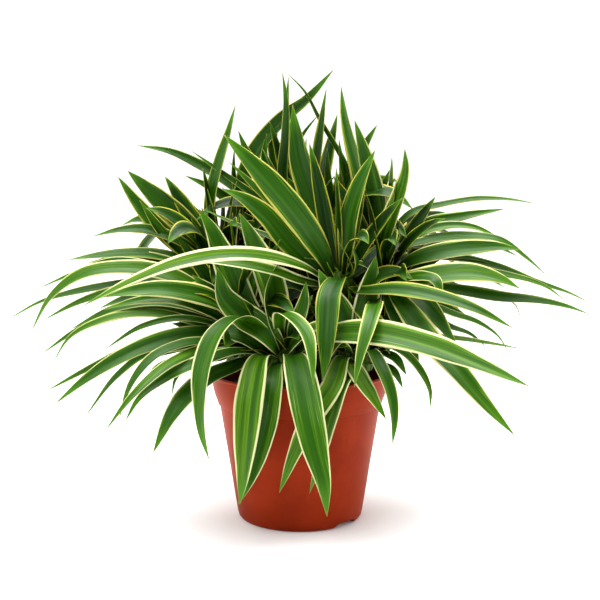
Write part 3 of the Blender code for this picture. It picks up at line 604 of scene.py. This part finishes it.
@dataclass(frozen=True)
class CrownFinish:
    """Leaf sheaths wrapped round a short stem: green darkened as painted shade, satin, ribbed lengthwise.
    """

    # Both sheath greens are darkened as painted shade of the plant's inside; the ribs between them are the
    # sheaths' own.
    light: str = "5C7A22"
    dark: str = "22380F"
    rib_mm: float = 1.1111
    rib_stretch: float = 0.12
    rib_height_mm: float = 0.4
    roughness: float = 0.6
    specular: float = 0.15

    def build(self) -> Any:
        """Make the sheath material.

        Returns:
            The material.
        """
        material = bpy.data.materials.new("crown_leaf_sheath")
        graph = ShaderGraph(material)
        place = graph.add("TexCoord", out="Object")
        # Upright ribs read as leaf bases that overlap round the stem.
        place = graph.add("Mapping", vector=place, scale=(1.0, 1.0, self.rib_stretch))
        ribs = graph.add("TexNoise", vector=place, scale=per_metre(self.rib_mm), detail=3.0)
        share = graph.add("MapRange", SMOOTH, i0=ribs, i1=0.35, i2=0.65)
        colour = graph.add("Mix", COLOURS, out=2, i0=share, i6=linear(self.dark), i7=linear(self.light))
        normal = graph.add("Bump", strength=0.6, distance=self.rib_height_mm * MM, height=ribs)
        shader = graph.add("BsdfPrincipled", base_color=colour, roughness=self.roughness,
                           specular_ior_level=self.specular, normal=normal)
        graph.add("OutputMaterial", surface=shader)
        return material


@dataclass(frozen=True)
class PotFinish:
    """Injection-moulded polypropylene in a terracotta colour, satin from the mould."""

    body: str = "963411"
    shade: str = "862B0C"
    dust: str = "AE5428"
    roughness: float = 0.48
    specular: float = 0.10
    ior: float = 1.49
    mottle_mm: float = 29.412
    scuff_mm: float = 2.3810
    scuff_stretch: float = 0.25
    grain_mm: float = 0.38462
    grain_height_mm: float = 0.06

    def build(self) -> Any:
        """Make the pot material.

        Returns:
            The material.
        """
        material = bpy.data.materials.new("pot_polypropylene_moulded")
        graph = ShaderGraph(material)
        place = graph.add("TexCoord", out="Object")
        # Faint flow mottling and upright scuffs keep the moulded wall from looking painted.
        mottle = graph.add("TexNoise", vector=place, scale=per_metre(self.mottle_mm), detail=3.0)
        mottle = graph.add("MapRange", SMOOTH, i0=mottle, i1=0.30, i2=0.70)
        flow = graph.add("Mapping", vector=place, scale=(1.0, 1.0, self.scuff_stretch))
        scuff = graph.add("TexNoise", vector=flow, scale=per_metre(self.scuff_mm), detail=5.0)
        scuff = graph.add("MapRange", SMOOTH, i0=scuff, i1=0.64, i2=0.80)
        colour = graph.add("Mix", COLOURS, out=2, i0=mottle, i6=linear(self.shade), i7=linear(self.body))
        dusty = graph.add("Math", MULTIPLY, i0=scuff, i1=0.22)
        colour = graph.add("Mix", COLOURS, out=2, i0=dusty, i6=colour, i7=linear(self.dust))
        gloss = graph.add("Math", MULTIPLY_ADD, i0=scuff, i1=0.14, i2=self.roughness)
        grain = graph.add("TexNoise", vector=place, scale=per_metre(self.grain_mm), detail=2.0)
        normal = graph.add("Bump", strength=0.25, distance=self.grain_height_mm * MM, height=grain)
        shader = graph.add("BsdfPrincipled", base_color=colour, roughness=gloss, ior=self.ior,
                           specular_ior_level=self.specular, normal=normal)
        graph.add("OutputMaterial", surface=shader)
        return material


@dataclass(frozen=True)
class CompostFinish:
    """Damp peat compost: near black, crumbly, with paler fibres."""

    wet: str = "140F0B"
    crumb: str = "33251A"
    fibre: str = "6B5136"
    roughness: float = 0.92
    crumb_mm: float = 1.4286
    fibre_mm: float = 0.66667
    crumb_height_mm: float = 0.6

    def build(self) -> Any:
        """Make the compost material.

        Returns:
            The material.
        """
        material = bpy.data.materials.new("compost_damp_peat")
        graph = ShaderGraph(material)
        place = graph.add("TexCoord", out="Object")
        # Broken specks of fibre on near black give it its crumb.
        crumb = graph.add("TexNoise", vector=place, scale=per_metre(self.crumb_mm), detail=5.0)
        share = graph.add("MapRange", SMOOTH, i0=crumb, i1=0.4, i2=0.7)
        colour = graph.add("Mix", COLOURS, out=2, i0=share, i6=linear(self.wet), i7=linear(self.crumb))
        speck = graph.add("TexNoise", vector=place, scale=per_metre(self.fibre_mm), detail=2.0)
        speck = graph.add("MapRange", SMOOTH, i0=speck, i1=0.66, i2=0.72)
        speck = graph.add("Math", MULTIPLY, i0=speck, i1=0.6)
        colour = graph.add("Mix", COLOURS, out=2, i0=speck, i6=colour, i7=linear(self.fibre))
        normal = graph.add("Bump", strength=0.9, distance=self.crumb_height_mm * MM, height=crumb)
        shader = graph.add("BsdfPrincipled", base_color=colour, roughness=self.roughness, normal=normal)
        graph.add("OutputMaterial", surface=shader)
        return material


@dataclass(frozen=True)
class BladeSpec:
    """One leaf blade: its crown, route, width and turn, in millimetres and degrees."""

    crown: str
    route: tuple[Point, ...]
    width: float
    roll_base: float
    roll_tip: float
    tone: Tone
    seed: float
    drop: float = 0.0


@dataclass
class BladeArrays:
    """Vertices, faces and pattern values of a blade."""

    vertices: np.ndarray
    faces: np.ndarray
    values: dict[str, np.ndarray]


@dataclass(frozen=True)
class BladeBuilder:
    """Turns a blade's description into a closed folded strap with pattern values."""

    across: int = 10
    along: int = 44
    thickness: float = 0.45
    spline_samples: int = 24
    tone_spread: float = 0.26
    least_width: float = 0.015
    wave_length: float = 9.0

    def arrays(self, spec: BladeSpec) -> BladeArrays:
        """Build one blade.

        Args:
            spec: the blade's route, width, turn, tone and seed.

        Returns:
            The blade's arrays, with places in metres.
        """
        x, y, z = CROWNS[spec.crown]
        seat, normal = self.seat_on_bulb((x, y, z - spec.drop), spec.route[0])
        points = [seat] + [np.array(point, dtype=float) for point in spec.route]
        places, length = self.resample(self.smooth_path(points, normal))
        sides, faces = self.frames(places, spec.roll_base, spec.roll_tip)
        fraction = np.linspace(0.0, 1.0, self.along + 1)
        half = spec.width * self.outline_width(fraction) / 2.0
        across = np.linspace(-1.0, 1.0, self.across + 1)
        grid_across, grid_along = np.meshgrid(across, fraction)
        lift = self.section(grid_across, grid_along * length, half[:, None], spec.seed)
        top = places[:, None, :] + sides[:, None, :] * (grid_across * half[:, None])[:, :, None]
        top = top + faces[:, None, :] * lift[:, :, None]
        thin = 0.25 + 0.75 * (1.0 - np.abs(grid_across) ** 3)
        under = top - faces[:, None, :] * (self.thickness * thin)[:, :, None]
        vertices = np.concatenate((top.reshape(-1, 3), under.reshape(-1, 3))) * MM
        count = (self.across + 1) * (self.along + 1)
        light, warm = spec.tone.value
        values = {
            "across": np.tile(grid_across.ravel(), 2),
            "along": np.tile(grid_along.ravel(), 2),
            "half_mm": np.tile(np.repeat(half, self.across + 1), 2),
            "seed": np.full(2 * count, spec.seed),
            "tone": np.full(2 * count, light + self.tone_spread * (spec.seed - 0.5)),
            "warm": np.full(2 * count, warm),
        }
        return BladeArrays(vertices, self.faces(count), values)

    def outline_width(self, fractions: np.ndarray) -> np.ndarray:
        """Share of the greatest width, from the outline with its corners smoothed.

        Args:
            fractions: fractions of the blade's length.

        Returns:
            The share at each.
        """
        stops = np.array(OUTLINE)
        fine = np.linspace(0.0, 1.0, 81)
        rough = np.interp(fine, stops[:, 0], stops[:, 1])
        padded = np.pad(rough, 4, mode="reflect", reflect_type="odd")
        smooth = np.convolve(padded, np.ones(9) / 9.0, mode="valid")
        return np.maximum(np.interp(fractions, fine, smooth), self.least_width)

    @staticmethod
    def seat_on_bulb(centre: Point, toward: Point) -> tuple[np.ndarray, np.ndarray]:
        """Find where a leaf leaves its crown's rounded top.

        Args:
            centre: the rounded top's centre.
            toward: the leaf's first route point.

        Returns:
            The place on the surface, and the outward direction there.
        """
        scale = np.array((BULB_RADIUS, BULB_RADIUS, BULB_HALF_HEIGHT))
        ray = np.array(toward, dtype=float) - np.array(centre, dtype=float)
        point = ray / np.linalg.norm(ray / scale)
        normal = point / scale ** 2
        return np.array(centre) + point, normal / np.linalg.norm(normal)

    def smooth_path(self, points: Sequence[np.ndarray], start_direction: np.ndarray) -> np.ndarray:
        """Dense points on a smooth curve through the given ones.

        Args:
            points: the seat, the route points and the tip.
            start_direction: the curve's direction at the seat.

        Returns:
            Points along the curve, one a row.
        """
        spans = [np.linalg.norm(after - before) for before, after in zip(points, points[1:])]
        slopes = [start_direction]
        for index in range(1, len(points) - 1):
            before = (points[index] - points[index - 1]) / spans[index - 1]
            after = (points[index + 1] - points[index]) / spans[index]
            weight = spans[index - 1] / (spans[index - 1] + spans[index])
            slopes.append(before * (1.0 - weight) + after * weight)
        slopes.append((points[-1] - points[-2]) / spans[-1])
        path = []
        for index, span in enumerate(spans):
            for step in range(self.spline_samples):
                t = step / self.spline_samples
                rise = t * t * (3.0 - 2.0 * t)
                place = points[index] * (1.0 - rise) + points[index + 1] * rise
                place = place + slopes[index] * (t * (1.0 - t) ** 2 * span)
                path.append(place - slopes[index + 1] * (t * t * (1.0 - t) * span))
        path.append(points[-1])
        return np.array(path)

    def resample(self, path: np.ndarray) -> tuple[np.ndarray, float]:
        """Take points at equal steps along a path.

        Args:
            path: dense points.

        Returns:
            One point for each row of the blade's grid, and the path's length.
        """
        steps = np.linalg.norm(np.diff(path, axis=0), axis=1)
        reached = np.concatenate(([0.0], np.cumsum(steps)))
        goals = np.linspace(0.0, reached[-1], self.along + 1)
        places = np.stack([np.interp(goals, reached, path[:, axis]) for axis in range(3)], axis=1)
        return places, float(reached[-1])

    @staticmethod
    def frames(places: np.ndarray, roll_base: float, roll_tip: float) -> tuple[np.ndarray, np.ndarray]:
        """Side and face directions along a blade, turned about its own line.

        Args:
            places: points along the blade.
            roll_base: turn at the foot, in degrees.
            roll_tip: turn at the tip, in degrees.

        Returns:
            The side and the face direction at each point.
        """
        heading = places[-1] - places[0]
        heading[2] = 0.0
        side = np.cross(heading / np.linalg.norm(heading), (0.0, 0.0, 1.0))
        last = len(places) - 1
        sides, faces = [], []
        for index in range(len(places)):
            along = places[min(index + 1, last)] - places[max(index - 1, 0)]
            along = along / np.linalg.norm(along)
            side = side - along * side.dot(along)
            side = side / np.linalg.norm(side)
            face = np.cross(side, along)
            roll = math.radians(roll_base + (roll_tip - roll_base) * index / last)
            sides.append(side * math.cos(roll) - face * math.sin(roll))
            faces.append(face * math.cos(roll) + side * math.sin(roll))
        return np.array(sides), np.array(faces)

    def section(self, across: np.ndarray, reach: np.ndarray, half: np.ndarray, seed: float) -> np.ndarray:
        """Height of the blade's surface over its middle rib.

        Args:
            across: -1 to 1 from edge to edge.
            reach: distance from the foot, in millimetres.
            half: half width, in millimetres.
            seed: the blade's own number, 0 to 1.

        Returns:
            Heights in millimetres.
        """
        size = np.abs(across)
        fold = half * (0.30 * size ** 1.35)
        curl = -half * 0.10 * size ** 4
        middle = np.sin(np.pi * reach / reach.max())
        pleats = 0.05 * half * np.sin(size * 7.0 + seed * 6.0) * size * middle
        phase = seed * 40.0 + np.sign(across) * 1.3
        wave = 0.05 * half * size ** 2 * np.sin(reach / self.wave_length + phase)
        return fold + curl + pleats + wave

    def faces(self, count: int) -> np.ndarray:
        """Quads of the top, the underside and the rim that joins them.

        Args:
            count: how many vertices the top has.

        Returns:
            Four vertex numbers a row.
        """
        wide = self.across + 1
        row = np.arange(self.along)[:, None] * wide
        column = np.arange(self.across)[None, :]
        corner = (row + column).ravel()
        top = np.stack((corner, corner + 1, corner + 1 + wide, corner + wide), axis=1)
        under = top[:, ::-1] + count
        left = np.arange(self.along) * wide
        right = left + self.across
        foot = np.arange(self.across)
        tip = foot + self.along * wide
        rims = (
            np.stack((left, left + wide, left + wide + count, left + count), axis=1),
            np.stack((right + wide, right, right + count, right + wide + count), axis=1),
            np.stack((foot + 1, foot, foot + count, foot + 1 + count), axis=1),
            np.stack((tip, tip + 1, tip + 1 + count, tip + count), axis=1),
        )
        return np.concatenate((top, under, *rims))


@dataclass
class Foliage:
    """All the leaves: one piece for each large blade, one for each crown's finer leaves."""

    finish: LeafFinish
    large: BladeBuilder = BladeBuilder()
    fine: BladeBuilder = BladeBuilder(across=8, along=30)

    def build(self) -> list[Any]:
        """Build every leaf piece.

        Returns:
            The pieces.
        """
        material = self.finish.build()
        pieces = []
        for index, (name, crown, route, width, roll_base, roll_tip) in enumerate(MAIN_LEAVES):
            seed = index * SEED_STEP % 1.0
            tone = Tone.PALE if name in PALE_LEAVES else CROWN_TONES[crown]
            spec = BladeSpec(crown, route, width, roll_base, roll_tip, tone, seed)
            mesh = self.join("blade_" + name, [self.large.arrays(spec)])
            piece = make_piece("blade_" + name, mesh, material)
            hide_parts(name)
            pieces.append(piece)
        for crown in CROWNS:
            specs = [*self.fine_leaves(crown), *self.fill_leaves(crown)]
            mesh = self.join("fine_leaves_" + crown, [self.fine.arrays(spec) for spec in specs])
            pieces.append(make_piece("fine_leaves_" + crown, mesh, material))
        return pieces

    @staticmethod
    def join(name: str, parts: Sequence[BladeArrays]) -> Any:
        """Join blades into one smooth mesh.

        Args:
            name: the mesh's name.
            parts: the blades.

        Returns:
            The mesh, with the blades' pattern values as attributes.
        """
        starts = np.cumsum([0] + [len(part.vertices) for part in parts[:-1]])
        vertices = np.concatenate([part.vertices for part in parts])
        faces = np.concatenate([part.faces + start for part, start in zip(parts, starts)])
        mesh = bpy.data.meshes.new(name)
        mesh.from_pydata(vertices.tolist(), [], faces.tolist())
        for key in parts[0].values:
            layer = mesh.attributes.new(key, "FLOAT", "POINT")
            layer.data.foreach_set("value", np.concatenate([part.values[key] for part in parts]))
        mesh.shade_smooth()
        return mesh

    @staticmethod
    def fine_leaves(crown: str) -> Iterable[BladeSpec]:
        """The finer leaves of one crown that have a place of their own.

        Args:
            crown: the crown's name.

        Returns:
            The blades, one by one.
        """
        for index, (owner, route, width, roll_base, roll_tip) in enumerate(FINE_LEAVES):
            if owner == crown:
                seed = (0.37 + index * SEED_STEP) % 1.0
                yield BladeSpec(owner, route, width, roll_base, roll_tip, CROWN_TONES[crown], seed)

    @staticmethod
    def fill_leaves(crown: str) -> Iterable[BladeSpec]:
        """Leaves that close the inside and the back, stepping round the crown.

        Args:
            crown: the crown's name.

        Returns:
            The blades, the long low ones first and the short steep ones last.
        """
        for owner, count, first_heading, reach, low, high, drop in FILL_GROUPS:
            if owner != crown:
                continue
            centre = Vector(CROWNS[crown]) - Vector((0.0, 0.0, drop))
            for index in range(count):
                heading = math.radians(first_heading + GOLDEN_ANGLE * index)
                share = index / (count - 1)
                seed = (0.11 + index * SEED_STEP + first_heading * 0.01) % 1.0
                outward = Vector((math.cos(heading), math.sin(heading), 0.0))
                front = max(0.0, -outward.y)
                span = reach * (1.0 - 0.78 * share) * (1.0 - 0.45 * front) * (0.9 + 0.2 * seed)
                climb = (low + (high - low) * share) * (0.85 + 0.3 * seed)
                bend = max(0.0, 1.0 - 1.7 * share)
                rise, fall = 1.25 + 1.75 * bend, 0.15 + 2.45 * bend
                route = []
                for step in (0.3, 0.55, 0.8, 1.0):
                    point = centre + outward * span * (0.12 + 0.88 * step)
                    point.z += 8.0 + climb * (rise * step - fall * step * step)
                    route.append((point.x, point.y, point.z))
                turn = (30.0 + 45.0 * share) * (1.0 if outward.x > 0.0 else -1.0)
                width = (16.0 - 6.0 * share) * (0.8 + 0.4 * seed)
                # Painted shade: the leaves that fill the inside take the darkest tone.
                yield BladeSpec(owner, tuple(route), width, turn, turn, Tone.SHADED_INNER, seed, drop)


@dataclass
class Pot:
    """The moulded pot: one turned shell with two low arches in its foot ring. Sizes in millimetres."""

    finish: PotFinish
    wall: float = 1.5
    segments: int = 160
    height: float = 100.0
    floor: float = 5.2
    floor_radius: float = 41.0
    underside: float = 3.8
    foot_shaded_inner: float = 35.6
    arch_headings: tuple[float, float] = (47.0, 227.0)
    arch_half_width: float = 10.2
    arch_slope: float = 2.4
    arch_height: float = 3.3
    sharp_degrees: float = 28.0

    def build(self) -> Any:
        """Build the pot and stand it in for the frame's pot.

        Returns:
            The piece.
        """
        mesh_data = bmesh.new()
        rings = [self.ring(mesh_data, radius, height) for radius, height in self.profile()]
        for first, second in zip(rings, rings[1:]):
            for step in range(self.segments):
                after = (step + 1) % self.segments
                mesh_data.faces.new((first[step], first[after], second[after], second[step]))
        for loop in (rings[0], rings[-1]):
            middle = mesh_data.verts.new((0.0, 0.0, loop[0].co.z))
            for step in range(self.segments):
                mesh_data.faces.new((loop[step], loop[(step + 1) % self.segments], middle))
        self.lift_arches(mesh_data)
        bmesh.ops.recalc_face_normals(mesh_data, faces=mesh_data.faces)
        mesh = bpy.data.meshes.new("pot_shell")
        mesh_data.to_mesh(mesh)
        mesh_data.free()
        mesh.shade_smooth()
        mesh.set_sharp_from_angle(angle=math.radians(self.sharp_degrees))
        piece = make_piece("pot_shell", mesh, self.finish.build())
        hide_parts("pot")
        return piece

    def profile(self) -> list[tuple[float, float]]:
        """Radius and height round the whole section, from the underside out, up and back in.

        Returns:
            The points, in order.
        """
        inner = [(radius - self.wall, height) for radius, height in POT_OUTER
                 if self.floor + 2.8 < height < self.height - 1.0]
        points = [(self.foot_shaded_inner - 0.4, self.underside), (self.foot_shaded_inner, 0.0), *POT_OUTER]
        points += [(59.1, self.height), (58.7, self.height - 0.4), *reversed(inner)]
        return points + [(self.floor_radius + 0.7, self.floor + 1.2), (self.floor_radius, self.floor)]

    def ring(self, mesh_data: Any, radius: float, height: float) -> list[Any]:
        """Make a level ring of vertices.

        Args:
            mesh_data: the pot's mesh.
            radius: the ring's radius, in millimetres.
            height: its height, in millimetres.

        Returns:
            The vertices, in order round the pot.
        """
        angles = [2.0 * math.pi * step / self.segments for step in range(self.segments)]
        return [mesh_data.verts.new((radius * math.cos(a) * MM, radius * math.sin(a) * MM, height * MM))
                for a in angles]

    def lift_arches(self, mesh_data: Any) -> None:
        """Raise the foot ring at its two arches, with sloping ends.

        Args:
            mesh_data: the pot's mesh.
        """
        for vertex in mesh_data.verts:
            if vertex.co.z > 2.5 * MM or vertex.co.xy.length < 30.0 * MM:
                continue
            for heading in self.arch_headings:
                angle = math.radians(heading)
                sideways = vertex.co.x * math.cos(angle) + vertex.co.y * math.sin(angle)
                outward = vertex.co.x * math.sin(angle) - vertex.co.y * math.cos(angle)
                if outward > 0.0:
                    inside = self.arch_half_width * MM - abs(sideways)
                    slope = min(1.0, max(0.0, inside / (self.arch_slope * MM)))
                    vertex.co.z = max(vertex.co.z, self.arch_height * MM * slope)


@dataclass
class Compost:
    """The compost's crumbly top, with loose crumbs lying on it. Sizes in millimetres."""

    finish: CompostFinish
    radius: float = 55.5
    level: float = 88.6
    bottom: float = 84.0
    relief: float = 1.5
    mound: float = 2.0
    rings: int = 46
    spokes: int = 120
    crumbs: int = 420
    least_crumb: float = 0.7
    crumb_spread: float = 1.3

    def build(self) -> Any:
        """Build the compost surface and stand it in for the frame's compost.

        Returns:
            The piece.
        """
        mesh_data = bmesh.new()
        rings = []
        for index in range(1, self.rings + 1):
            radius = self.radius * index / self.rings
            rings.append([mesh_data.verts.new(self.surface(radius, spoke)) for spoke in range(self.spokes)])
        low = self.bottom * MM
        rings.append([mesh_data.verts.new((vertex.co.x, vertex.co.y, low)) for vertex in rings[-1]])
        for first, second in zip(rings, rings[1:]):
            for step in range(self.spokes):
                after = (step + 1) % self.spokes
                mesh_data.faces.new((first[step], first[after], second[after], second[step]))
        mesh_data.faces.new(rings[0])
        mesh_data.faces.new(rings[-1])
        self.scatter(mesh_data)
        bmesh.ops.recalc_face_normals(mesh_data, faces=mesh_data.faces)
        mesh = bpy.data.meshes.new("compost_crumb")
        mesh_data.to_mesh(mesh)
        mesh_data.free()
        mesh.shade_smooth()
        piece = make_piece("compost_crumb", mesh, self.finish.build())
        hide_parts("compost")
        return piece

    def surface(self, radius: float, spoke: float) -> Vector:
        """A point of the uneven surface.

        Args:
            radius: distance from the pot's axis, in millimetres.
            spoke: which spoke, counted from +X.

        Returns:
            The point, in metres.
        """
        angle = 2.0 * math.pi * spoke / self.spokes
        x, y = radius * math.cos(angle), radius * math.sin(angle)
        swell = noise.noise(Vector((x, y, 0.0)) * 0.06) + 0.7 * noise.noise(Vector((x, y, 9.0)) * 0.35)
        mound = self.mound * (1.0 - (radius / self.radius) ** 2)
        return Vector((x, y, self.level + mound + self.relief * swell)) * MM

    def scatter(self, mesh_data: Any) -> None:
        """Lay small rounded crumbs over the surface.

        Args:
            mesh_data: the compost's mesh.
        """
        for index in range(self.crumbs):
            share = (index + 0.5) / self.crumbs
            radius = (self.radius - 2.5) * math.sqrt(share)
            angle = math.radians(GOLDEN_ANGLE) * index
            place = self.surface(radius, self.spokes * (angle / (2.0 * math.pi) % 1.0))
            size = (self.least_crumb + self.crumb_spread * (index * 0.7548 % 1.0)) * MM
            made = bmesh.ops.create_icosphere(mesh_data, subdivisions=1, radius=size)
            for vertex in made["verts"]:
                vertex.co *= 1.0 + 0.45 * noise.noise(vertex.co * 900.0 + Vector((index, 0.0, 0.0)))
                vertex.co += place


@dataclass
class Crowns:
    """The short stems; their frame solids are right and get their finish."""

    finish: CrownFinish

    def dress(self) -> None:
        """Give every crown its sheath material."""
        material = self.finish.build()
        for crown in CROWNS:
            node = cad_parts[crown]
            node.data.materials.clear()
            node.data.materials.append(material)


@dataclass(frozen=True)
class Lamp:
    """A square soft light: its place and side in millimetres, and its power in watts."""

    name: str
    place: Point
    side: float
    power: float


@dataclass
class Studio:
    """White floor, soft light from above and both sides, and the camera. Sizes in millimetres."""

    floor_half_size: float = 12000.0
    floor_colour: str = "F8F8F8"
    floor_glow: float = 0.5
    floor_lift: float = 0.05
    glow_reach: float = 2600.0
    front_sky: tuple[float, float, float, float] = (0.20, 0.20, 0.21, 1.0)
    camera_place: Point = (0.0, -720.0, 227.0)
    camera_pitch_degrees: float = 6.2
    camera_lens: float = 64.0
    aim: Point = (0.0, 0.0, 140.0)
    lamps: tuple[Lamp, ...] = (
        Lamp("key", (-600.0, -1100.0, 1300.0), 900.0, 9.0),
        Lamp("side_left", (-1500.0, -200.0, 500.0), 900.0, 5.0),
        Lamp("side_right", (1500.0, -200.0, 500.0), 900.0, 5.0),
        Lamp("top", (0.0, 150.0, 1600.0), 1300.0, 34.0),
    )

    def build(self) -> None:
        """Set the stage, the lights, the world and the camera."""
        self.floor()
        self.world()
        for lamp in self.lamps:
            self.light(lamp)
        self.camera()
        bpy.context.scene.view_settings.view_transform = "Standard"
        bpy.context.scene.view_settings.look = "Medium High Contrast"

    def floor(self) -> None:
        """A plain white floor that brightens away from the plant, so that it runs into the sky."""
        mesh = bpy.data.meshes.new("floor")
        size = self.floor_half_size * MM
        corners = [(-size, -size, 0.0), (size, -size, 0.0), (size, size, 0.0), (-size, size, 0.0)]
        mesh.from_pydata(corners, [], [(0, 1, 2, 3)])
        material = bpy.data.materials.new("floor_white_board")
        graph = ShaderGraph(material)
        place = graph.add("TexCoord", out="Object")
        distance = graph.add("VectorMath", {"operation": "LENGTH"}, out="Value", i0=place)
        glow = graph.add("MapRange", SMOOTH, i0=distance, i1=0.0, i2=self.glow_reach * MM)
        glow = graph.add("Math", MULTIPLY_ADD, i0=glow, i1=self.floor_glow, i2=self.floor_lift)
        shader = graph.add("BsdfPrincipled", base_color=linear(self.floor_colour), roughness=0.8,
                           specular_ior_level=0.1, emission_color=linear("FFFFFF"), emission_strength=glow)
        graph.add("OutputMaterial", surface=shader)
        mesh.materials.append(material)
        add_object("floor", mesh)

    def world(self) -> None:
        """White all round, dimmer behind the camera so that round forms turn darker in front."""
        world = bpy.data.worlds.new("studio_white")
        bpy.context.scene.world = world
        graph = ShaderGraph(world)
        direction = graph.add("TexCoord", out="Generated")
        depth = graph.add("SeparateXYZ", out="Y", vector=direction)
        share = graph.add("MapRange", SMOOTH, i0=depth, i1=-0.75, i2=0.10)
        colour = graph.add("Mix", COLOURS, out=2, i0=share, i6=self.front_sky, i7=linear("FFFFFF"))
        background = graph.add("Background", color=colour, strength=1.0)
        graph.add("OutputWorld", surface=background)

    def light(self, lamp: Lamp) -> None:
        """Add a light aimed at the plant.

        Args:
            lamp: its name, place, side and power.
        """
        data = bpy.data.lights.new(lamp.name, "AREA")
        data.size = lamp.side * MM
        data.energy = lamp.power
        holder = add_object(lamp.name, data)
        holder.location = Vector(lamp.place) * MM
        toward = Vector(self.aim) * MM - holder.location
        holder.rotation_euler = toward.to_track_quat("-Z", "Y").to_euler()

    def camera(self) -> None:
        """The camera, level with the upper leaves and pitched down a little."""
        data = bpy.data.cameras.new("camera")
        data.lens = self.camera_lens
        data.sensor_width = 36.0
        data.clip_start = 0.01
        holder = add_object("camera", data)
        holder.location = Vector(self.camera_place) * MM
        holder.rotation_euler = (math.radians(90.0 - self.camera_pitch_degrees), 0.0, 0.0)
        bpy.context.scene.camera = holder


def main() -> None:
    """Build and dress the plant in order."""
    logging.basicConfig(level=logging.INFO)
    Studio().build()
    LOG.info("pot: %s", Pot(PotFinish()).build().name)
    LOG.info("compost: %s", Compost(CompostFinish()).build().name)
    Crowns(CrownFinish()).dress()
    LOG.info("crowns dressed: %d", len(CROWNS))
    for piece in Foliage(LeafFinish()).build():
        LOG.info("leaf piece: %s", piece.name)


if __name__ == "__main__":
    main()
